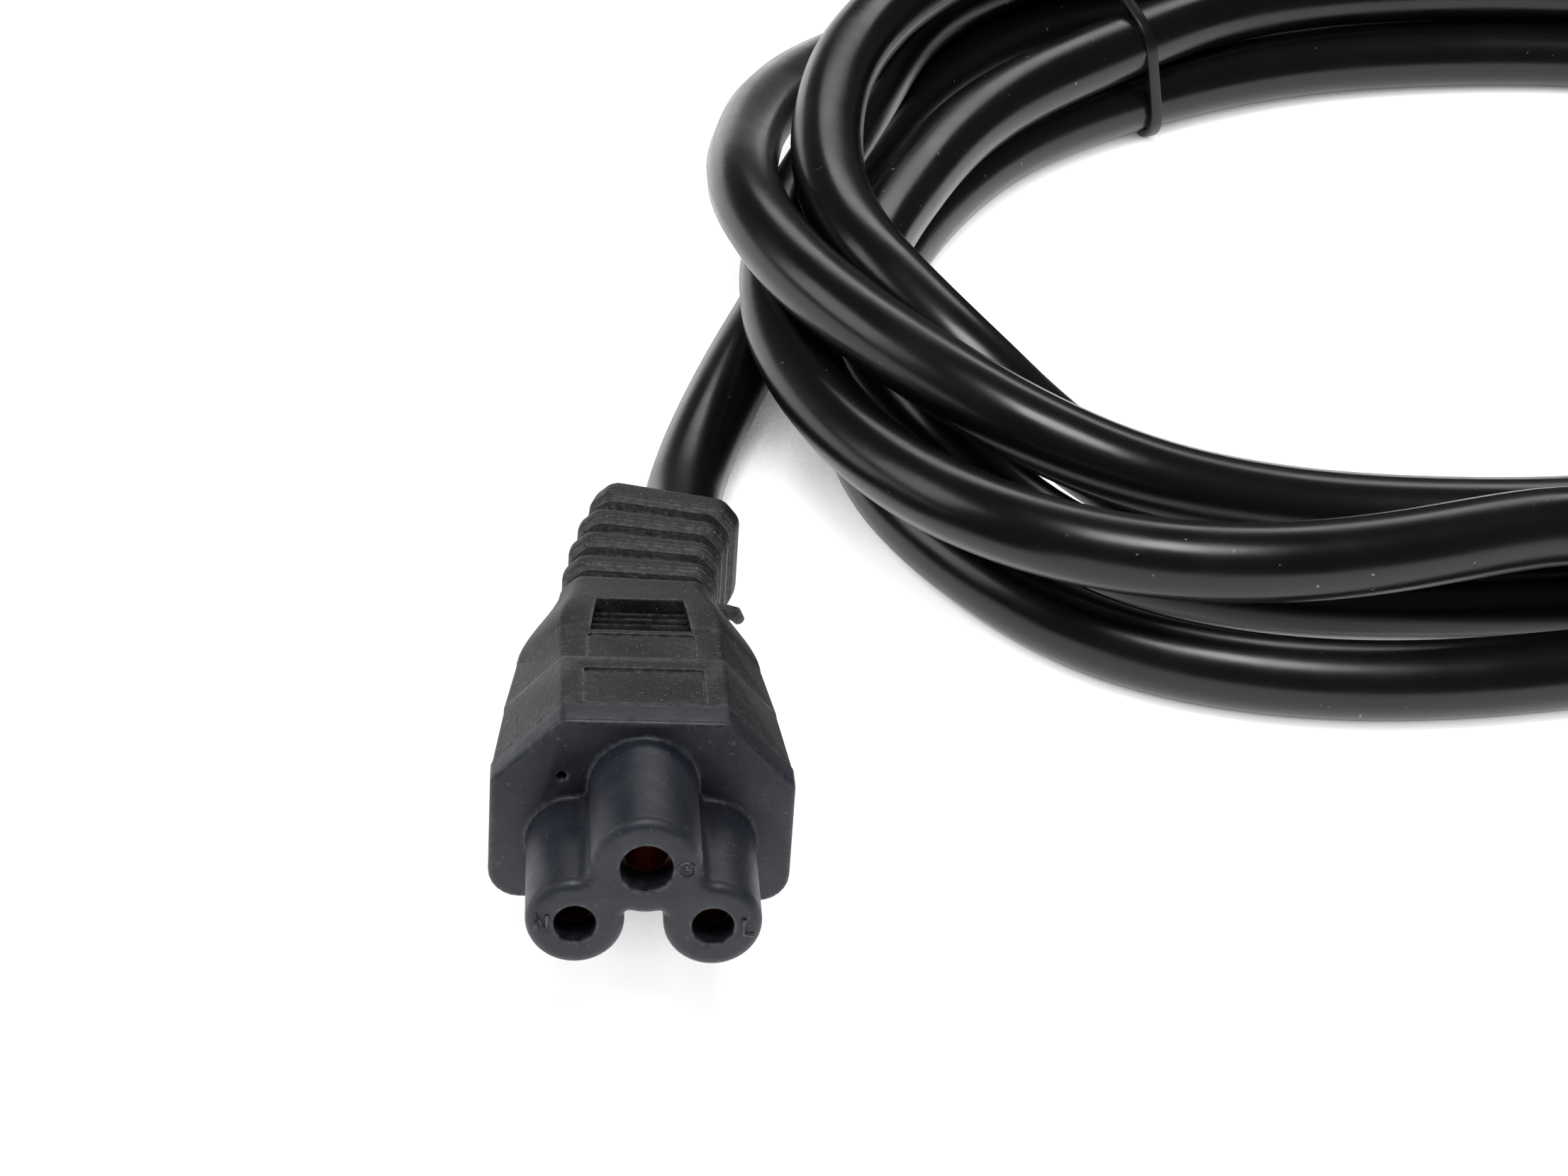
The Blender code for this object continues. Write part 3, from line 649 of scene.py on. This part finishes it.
def relief_bent(point):
    """A point of the straight connector, moved to where the bent strain relief holds it."""
    behind = bend_start - point.z
    if behind <= 0:
        return point
    angle = behind / bend_radius
    return Vector((
        bend_radius * (1 - math.cos(angle)) + point.x * math.cos(angle),
        point.y,
        bend_start - bend_radius * math.sin(angle) + point.x * math.sin(angle),
    ))


def relief_section(inset):
    half_width = relief_half_width - inset
    half_height = relief_half_height - inset
    bevel = relief_corner_round * relief_bevel_share
    return housing_outline(
        half_width,
        half_width - bevel,
        half_height,
        half_height - bevel,
        half_height,
        relief_corner_round - 0.5 * inset,
        bevel,
    )


def body_sections():
    slope = (flange_bottom - grip_bottom) / (body_front - grip_end)
    middle = (flange_half_width + grip_half_width) / 2
    front = flange_half_width - body_inset
    top = flange_top - body_inset
    foot_back, foot_rise = platform_foot
    rows = [(body_front - back, front, top, inset) for back, inset in body_front_profile]
    rows += [(platform_end - back, middle, top - fall, 0.0) for back, fall in platform_profile]
    rows.append((platform_end - foot_back, middle, grip_top + foot_rise, 0.0))
    rows.append((grip_end, grip_half_width, grip_top, 0.0))
    sections = []
    for z, half_width, height, inset in rows:
        bottom = flange_bottom - slope * (body_front - z)
        outline = housing_outline(
            half_width - inset,
            flange_top_half,
            height - inset,
            flange_shoulder,
            bottom - inset,
            flange_corner_round,
            bevel_round,
        )
        sections.append((z, outline))
    wide, narrow = sections[-1][1], relief_section(0.0)
    length = neck + shoulder_gap - grip_end
    for step in range(1, shoulder_sections + 1):
        way = step / shoulder_sections
        share = 0.5 - 0.5 * math.cos(math.pi * step / shoulder_sections)
        lift = shoulder_swell * way * (1 - way) + shoulder_lift * way
        outline = []
        for a, b in zip(wide, narrow):
            x, y = Vector(a).lerp(Vector(b), share)
            outline.append((x, y + lift * max(y, 0.0) / grip_top))
        sections.append((grip_end + length * step / shoulder_sections, outline))
    return sections


def relief_sections():
    sections = [(neck - back, relief_section(inset)) for back, inset in neck_profile]
    for index in range(groove_count):
        front = neck - index * groove_pitch - groove_width
        if index < groove_count - 1:
            profile = rib_profile + [(groove_pitch - groove_width, groove_depth)]
        else:
            profile = [pair for pair in rib_profile if pair[0] < cap_edge]
        sections += [(front - back, relief_section(inset)) for back, inset in profile]
    for depth, inset in quarter_round(relief_end_round, 8):
        sections.append((relief_end + depth, relief_section(inset)))
    return sections


def box_cutter(name, width, back, front, floor):
    """A pocket open upwards with slightly rounded corners."""
    half = width / 2
    corners = [(-half, back), (half, back), (half, front), (-half, front)]
    outline = rounded_polygon(corners, [pocket_corner_round] * 4, 4)
    return skin(name, [[Vector((x, y, z)) for x, z in outline] for y in (floor, flange_top + 1)])


def thumb_rise(share):
    """How far the top stands above its front edge's height along the thumb pocket."""
    return thumb_swell * math.sin(math.pi * share)


def thumb_cutter():
    length = thumb_profile[-1][0]
    rings = []
    for side in (-1, 1):
        row = []
        for back, depth in thumb_profile:
            share = back / length
            half = (thumb_front_width + (thumb_back_width - thumb_front_width) * share) / 2
            row.append(Vector((side * half, grip_top + thumb_rise(share) - depth, thumb_front - back)))
        row.append(Vector((side * thumb_back_width / 2, grip_top + 1, thumb_front - length)))
        row.append(Vector((side * thumb_front_width / 2, grip_top + 1, thumb_front)))
        rings.append(row)
    return skin("thumb_pocket", rings)


def gate_shape():
    """A short stub that droops at its end."""
    rings = []
    points = [Vector(point) for point in gate_points]
    for index, point in enumerate(points):
        way = (points[min(index + 1, len(points) - 1)] - points[max(index - 1, 0)]).normalized()
        side = way.cross(Vector((0, 0, 1))).normalized()
        other = way.cross(side)
        radius = gate_radius * (gate_end_share if index == len(points) - 1 else 1.0)
        spokes = circle((0, 0), 1.0, gate_sides)
        rings.append([point + (side * x + other * y) * radius for x, y in spokes])
    return skin("gate", rings)


def make_body(finish):
    rings = []
    for z, outline in body_sections() + relief_sections():
        rings.append([relief_bent(point) for point in ring_at(outline, z)])
    body = skin("grip_body", rings)
    width, length, depth = label_window
    front = body_front - label_margin
    window = box_cutter("label", width, front - length, front, flange_top - body_inset - depth)
    width, length, depth = panel
    front = platform_end - panel_margin
    panel_cut = box_cutter("panel", width, front - length, front, grip_top - depth)
    others = [("DIFFERENCE", window), ("DIFFERENCE", panel_cut), ("DIFFERENCE", thumb_cutter())]
    others.append(("UNION", gate_shape()))
    dress(combined(body, others, body_edge_break), finish, "body_plastic", "connector_body")


# Marks beside the holes, as strokes of points on the nose face
mark_radius = {"neutral": 0.17, "line": 0.17, "earth": 0.08}
mark_strokes = {
    "neutral": [[(-6.95, -2.72), (-6.95, -1.52), (-6.25, -2.72), (-6.25, -1.52)]],
    "line": [[(6.45, -1.5), (6.45, -2.7), (7.1, -2.7)]],
    "earth": [
        arc((2.55, 2.15), 0.55, 0, 2 * math.pi, 24),
        [(2.55, 2.5), (2.55, 2.15)],
        [(2.25, 2.15), (2.85, 2.15)],
        [(2.35, 1.98), (2.75, 1.98)],
        [(2.45, 1.81), (2.65, 1.81)],
    ],
}


def make_marks(finish):
    for name, strokes in mark_strokes.items():
        curve = bpy.data.curves.new(f"mark_{name}", "CURVE")
        curve.dimensions = "3D"
        curve.bevel_depth = mark_radius[name] * MM
        curve.bevel_resolution = 2
        curve.use_fill_caps = True
        for stroke in strokes:
            spline = curve.splines.new("POLY")
            spline.points.add(len(stroke) - 1)
            for place, (x, y) in zip(spline.points, stroke):
                place.co = (x * MM, y * MM, 0.0, 1.0)
        mark = bpy.data.objects.new(f"mark_{name}", curve)
        bpy.context.scene.collection.objects.link(mark)
        mark.matrix_world = connector
        dress(mark, finish, "insert_plastic")


# Tie strip

def strand_crossings(route):
    """Where strands pass the tie's plane, as (way out, height), and the plane's middle and directions."""
    middle, outward = oval_frame(tie_angle)
    along = np.array([-outward[1], outward[0], 0.0])
    ahead = (route - middle) @ along
    out = (route - middle) @ outward
    found = []
    for index in range(len(route) - 1):
        if ahead[index] * ahead[index + 1] <= 0 and abs(out[index]) < strand_reach:
            share = ahead[index] / (ahead[index] - ahead[index + 1])
            point = route[index] + (route[index + 1] - route[index]) * share
            found.append((float((point - middle) @ outward), float(point[2])))
    return found, middle, outward, along


def hull(points):
    """Convex hull, anticlockwise."""
    def half(ordered):
        kept = []
        for point in ordered:
            while len(kept) > 1 and (
                (kept[-1][0] - kept[-2][0]) * (point[1] - kept[-2][1])
                - (kept[-1][1] - kept[-2][1]) * (point[0] - kept[-2][0])
            ) <= 0:
                kept.pop()
            kept.append(point)
        return kept[:-1]

    ordered = sorted(set(points))
    return half(ordered) + half(ordered[::-1])


def make_tie(route, finish):
    crossings, middle, outward, along = strand_crossings(route)
    outlines = []
    for reach in (cable_diameter / 2 - tie_grip, cable_diameter / 2 + tie_thickness - tie_grip):
        dots = []
        for out, up in crossings:
            dots += circle((out, up), reach, strand_sides)
        border = np.array(hull(dots))
        border = np.vstack([border, border[:1]])
        run = np.concatenate([[0], np.cumsum(np.linalg.norm(np.diff(border, axis=0), axis=1))])
        marks = np.linspace(0, run[-1], tie_points + 1)[:-1]
        outlines.append(np.stack([np.interp(marks, run, border[:, axis]) for axis in range(2)], 1))
    rings = []
    for near, far in zip(*outlines):
        ring = []
        for (out, up), side in ((near, -1), (far, -1), (far, 1), (near, 1)):
            up = max(up, 0.0)
            lean = (up - floor_height) * tie_lean
            sideways = along * (side * tie_width / 2 + lean)
            ring.append(Vector(middle + outward * out + np.array([0, 0, up]) + sideways))
        rings.append(ring)
    tie = skin("tie_strip", rings, closed=True)
    bevel = tie.modifiers.new("edges", "BEVEL")
    bevel.width = tie_edge_break * MM
    bevel.segments = 3
    bevel.limit_method = "ANGLE"
    tie.data.shade_smooth()
    dress(tie, finish, "tie_plastic", "tie_band")


# Finishes, with their lengths in metres

class Finish:
    """A Principled material with helpers to add its nodes."""

    def __init__(self, name, colour, roughness, metallic=0.0, specular=0.5):
        self.material = bpy.data.materials.new(name)
        self.material.use_nodes = True
        self.tree = self.material.node_tree
        self.shader = self.tree.nodes["Principled BSDF"]
        self.shader.inputs["Base Color"].default_value = (*colour, 1.0)
        self.shader.inputs["Roughness"].default_value = roughness
        self.shader.inputs["Metallic"].default_value = metallic
        self.shader.inputs["Specular IOR Level"].default_value = specular
        self.colour = colour
        self.place = self.tree.nodes.new("ShaderNodeTexCoord").outputs["Object"]
        self.height = None

    def link(self, output, target):
        self.tree.links.new(output, target)

    def noise(self, scale, detail=2.0, roughness=0.5):
        node = self.tree.nodes.new("ShaderNodeTexNoise")
        node.inputs["Scale"].default_value = scale
        node.inputs["Detail"].default_value = detail
        node.inputs["Roughness"].default_value = roughness
        self.link(self.place, node.inputs["Vector"])
        return node.outputs["Fac"]

    def edges(self, reach, low, high):
        """1 on outward edges, where a rounded normal leaves the true one."""
        bevel = self.tree.nodes.new("ShaderNodeBevel")
        bevel.samples = 6
        bevel.inputs["Radius"].default_value = reach
        true = self.tree.nodes.new("ShaderNodeNewGeometry").outputs["True Normal"]
        node = self.tree.nodes.new("ShaderNodeVectorMath")
        node.operation = "DISTANCE"
        self.link(bevel.outputs["Normal"], node.inputs[0])
        self.link(true, node.inputs[1])
        return self.ramp(node.outputs["Value"], low, high)

    def shade_in_hollows(self, reach, low, high):
        """Mask for painted shade, from ambient occlusion: 1 deep in grooves and corners, 0 on open
        surfaces.
        """
        shade = self.tree.nodes.new("ShaderNodeAmbientOcclusion")
        shade.samples = 8
        shade.inputs["Distance"].default_value = reach
        return self.ramp(shade.outputs["AO"], high, low)

    def ramp(self, value, low, high, start=0.0, end=1.0):
        node = self.tree.nodes.new("ShaderNodeMapRange")
        node.inputs["From Min"].default_value = low
        node.inputs["From Max"].default_value = high
        node.inputs["To Min"].default_value = start
        node.inputs["To Max"].default_value = end
        self.link(value, node.inputs["Value"])
        return node.outputs["Result"]

    def times(self, first, second):
        node = self.tree.nodes.new("ShaderNodeMath")
        node.operation = "MULTIPLY"
        self.link(first, node.inputs[0])
        self.link(second, node.inputs[1])
        return node.outputs[0]

    def bump(self, value, distance):
        node = self.tree.nodes.new("ShaderNodeBump")
        node.inputs["Distance"].default_value = distance
        self.link(value, node.inputs["Height"])
        if self.height:
            self.link(self.height, node.inputs["Normal"])
        self.height = node.outputs["Normal"]
        self.link(self.height, self.shader.inputs["Normal"])

    def mottle(self, value, other):
        """Moves the colour towards the other one by a value from 0 to 1."""
        node = self.tree.nodes.new("ShaderNodeMix")
        node.data_type = "RGBA"
        source = self.shader.inputs["Base Color"]
        if source.is_linked:
            self.link(source.links[0].from_socket, node.inputs["A"])
        else:
            node.inputs["A"].default_value = (*self.colour, 1.0)
        node.inputs["B"].default_value = (*other, 1.0)
        self.link(value, node.inputs["Factor"])
        self.link(node.outputs["Result"], self.shader.inputs["Base Color"])

    def vary_roughness(self, value, low, high):
        self.link(self.ramp(value, 0.3, 0.7, low, high), self.shader.inputs["Roughness"])

    def dull(self, value, shine, least):
        """Takes the reflection from shine down to least as a value goes from 0 to 1."""
        self.link(self.ramp(value, 0, 1, shine, least), self.shader.inputs["Specular IOR Level"])


def insert_finish():
    """Smooth slate black with a faint haze and pale specks, painted shade at the roots and in the holes,
    and pale edges for wear and a painted highlight.
    """
    made = Finish("slate_smooth", (0.015, 0.018, 0.028), 0.44)
    made.vary_roughness(made.noise(500, 3), 0.42, 0.54)
    made.mottle(made.ramp(made.noise(260, 5, 0.7), 0.42, 0.72, 0.0, 0.5), (0.032, 0.036, 0.048))
    made.mottle(made.ramp(made.noise(2300, 2), 0.66, 0.78, 0.0, 0.6), (0.11, 0.11, 0.12))
    # painted shade: the colour goes towards black and the reflection is taken out in the roots, holes and
    # hollows
    made.mottle(made.shade_in_hollows(0.004, 0.35, 0.8), (0.005, 0.005, 0.008))
    made.dull(made.shade_in_hollows(0.004, 0.2, 0.9), 0.5, 0.12)
    # pale specks on outward edges: wear, together with a painted highlight on the rims
    wear_and_edge_highlight = made.times(made.edges(0.0003, 0.08, 0.3), made.ramp(made.noise(2100, 2), 0.42, 0.62))
    made.mottle(wear_and_edge_highlight, (0.1, 0.104, 0.115))
    made.bump(made.noise(1500, 2), 0.00003)
    return made.material


def body_finish():
    """Fine grain with pale tips, pale edges for wear and a painted highlight, and painted shade in the
    grooves.
    """
    made = Finish("grained_plastic", (0.009, 0.009, 0.010), 0.52)
    made.mottle(made.ramp(made.noise(140, 4, 0.6), 0.35, 0.7, 0.0, 0.6), (0.018, 0.018, 0.020))
    made.mottle(made.ramp(made.noise(4200, 2), 0.54, 0.72, 0.0, 0.7), (0.05, 0.05, 0.054))
    made.mottle(made.ramp(made.noise(4600, 1), 0.70, 0.78), (0.24, 0.24, 0.24))
    # pale specks on outward edges: wear, together with a painted highlight on the crests and rims
    wear_and_edge_highlight = made.times(
        made.edges(0.00025, 0.06, 0.25), made.ramp(made.noise(1900, 2), 0.4, 0.62, 0.35, 1.0)
    )
    made.mottle(wear_and_edge_highlight, (0.11, 0.11, 0.115))
    # painted shade: the colour goes towards black and the reflection is taken out in the grooves and
    # corners
    made.mottle(made.shade_in_hollows(0.0016, 0.25, 0.62), (0.0015, 0.0015, 0.0015))
    made.dull(made.shade_in_hollows(0.0018, 0.2, 0.75), 0.42, 0.02)
    made.bump(made.noise(3600, 3, 0.6), 0.00009)
    made.bump(made.noise(1200, 2), 0.00005)
    return made.material


def cable_finish():
    """Satin black with a little dust."""
    made = Finish("satin_sheath", (0.0042, 0.0042, 0.0046), 0.27)
    made.vary_roughness(made.noise(160, 3), 0.22, 0.30)
    made.bump(made.noise(420, 2), 0.000012)
    specks = made.times(
        made.ramp(made.noise(1500, 1), 0.77, 0.80), made.ramp(made.noise(60, 1), 0.45, 0.6)
    )
    made.mottle(specks, (0.22, 0.22, 0.22))
    return made.material


def tie_finish():
    return Finish("tie_strip", (0.006, 0.006, 0.007), 0.36).material


def brass_finish():
    return Finish("brass_sleeve", (0.5, 0.24, 0.15), 0.3, metallic=1.0).material


def nickel_finish():
    return Finish("plated_pin", (0.62, 0.60, 0.57), 0.24, metallic=1.0).material


def paint_nodes():
    for name, finish in finishes.items():
        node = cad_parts[name]
        if node.material_slots:
            node.material_slots[0].material = finish
        else:
            node.data.materials.append(finish)


# The pieces

plug_metal_nodes = [
    "plug_pin_left", "plug_pin_right", "plug_earth_socket", "plug_clip_lower", "plug_clip_upper",
]
slate = insert_finish()
grained = body_finish()
brass = brass_finish()
nickel = nickel_finish()
finishes = {
    "contact_line": brass,
    "contact_neutral": brass,
    "contact_earth": brass,
    "plug_body": grained,
    "plug_face": slate,
    **{name: nickel for name in plug_metal_nodes},
}
paint_nodes()
route = cable_route()
make_cord(route, cable_finish())
make_tie(route, tie_finish())
make_insert(slate)
make_body(grained)
make_marks(slate)


# Floor and light, in metres

floor_half = 3.0
floor_glow = 0.9
painted_shadow_reach = 0.014
painted_shadow_glow = 0.05
light_aim = Vector((0.05, 0.03, 0.0))
room_glow = 0.07

# Each light's place, width, height and power
lights = {
    "key": ((0.0, -0.25, 0.9), 0.45, 0.3, 5.0),
    "left": ((-0.9, 0.1, 0.45), 0.5, 0.5, 2.2),
    "back": ((0.2, 0.9, 0.7), 0.9, 0.3, 3.0),
}


def make_floor():
    """A floor that glows white, with painted shadow: the glow drops in the narrow gaps between strands.
    """
    corners = [(x * floor_half, y * floor_half, 0) for x, y in ((-1, -1), (1, -1), (1, 1), (-1, 1))]
    mesh = bpy.data.meshes.new("floor")
    mesh.from_pydata(corners, [], [(0, 1, 2, 3)])
    floor = bpy.data.objects.new("floor", mesh)
    bpy.context.scene.collection.objects.link(floor)
    made = Finish("pale_floor", (0.6, 0.6, 0.6), 0.9, specular=0.1)
    made.shader.inputs["Emission Color"].default_value = (1, 1, 1, 1)
    # painted shadow: the floor's glow falls to a little in the narrow gaps between strands and close
    # under them
    glow = made.ramp(made.shade_in_hollows(painted_shadow_reach, 0.08, 0.28), 0, 1, floor_glow, painted_shadow_glow)
    made.link(glow, made.shader.inputs["Emission Strength"])
    mesh.materials.append(made.material)


def area_light(name, place, width, height, power):
    light = bpy.data.lights.new(name, "AREA")
    light.shape = "RECTANGLE"
    light.size = width
    light.size_y = height
    light.energy = power
    lamp = bpy.data.objects.new(name, light)
    bpy.context.scene.collection.objects.link(lamp)
    lamp.location = place
    lamp.rotation_euler = (light_aim - Vector(place)).to_track_quat("-Z", "Y").to_euler()


def make_light():
    world = bpy.data.worlds.new("room")
    world.use_nodes = True
    background = world.node_tree.nodes["Background"]
    background.inputs["Color"].default_value = (1, 1, 1, 1)
    background.inputs["Strength"].default_value = room_glow
    bpy.context.scene.world = world
    for name, values in lights.items():
        area_light(name, *values)
    bpy.context.scene.view_settings.view_transform = "Standard"


make_floor()
make_light()
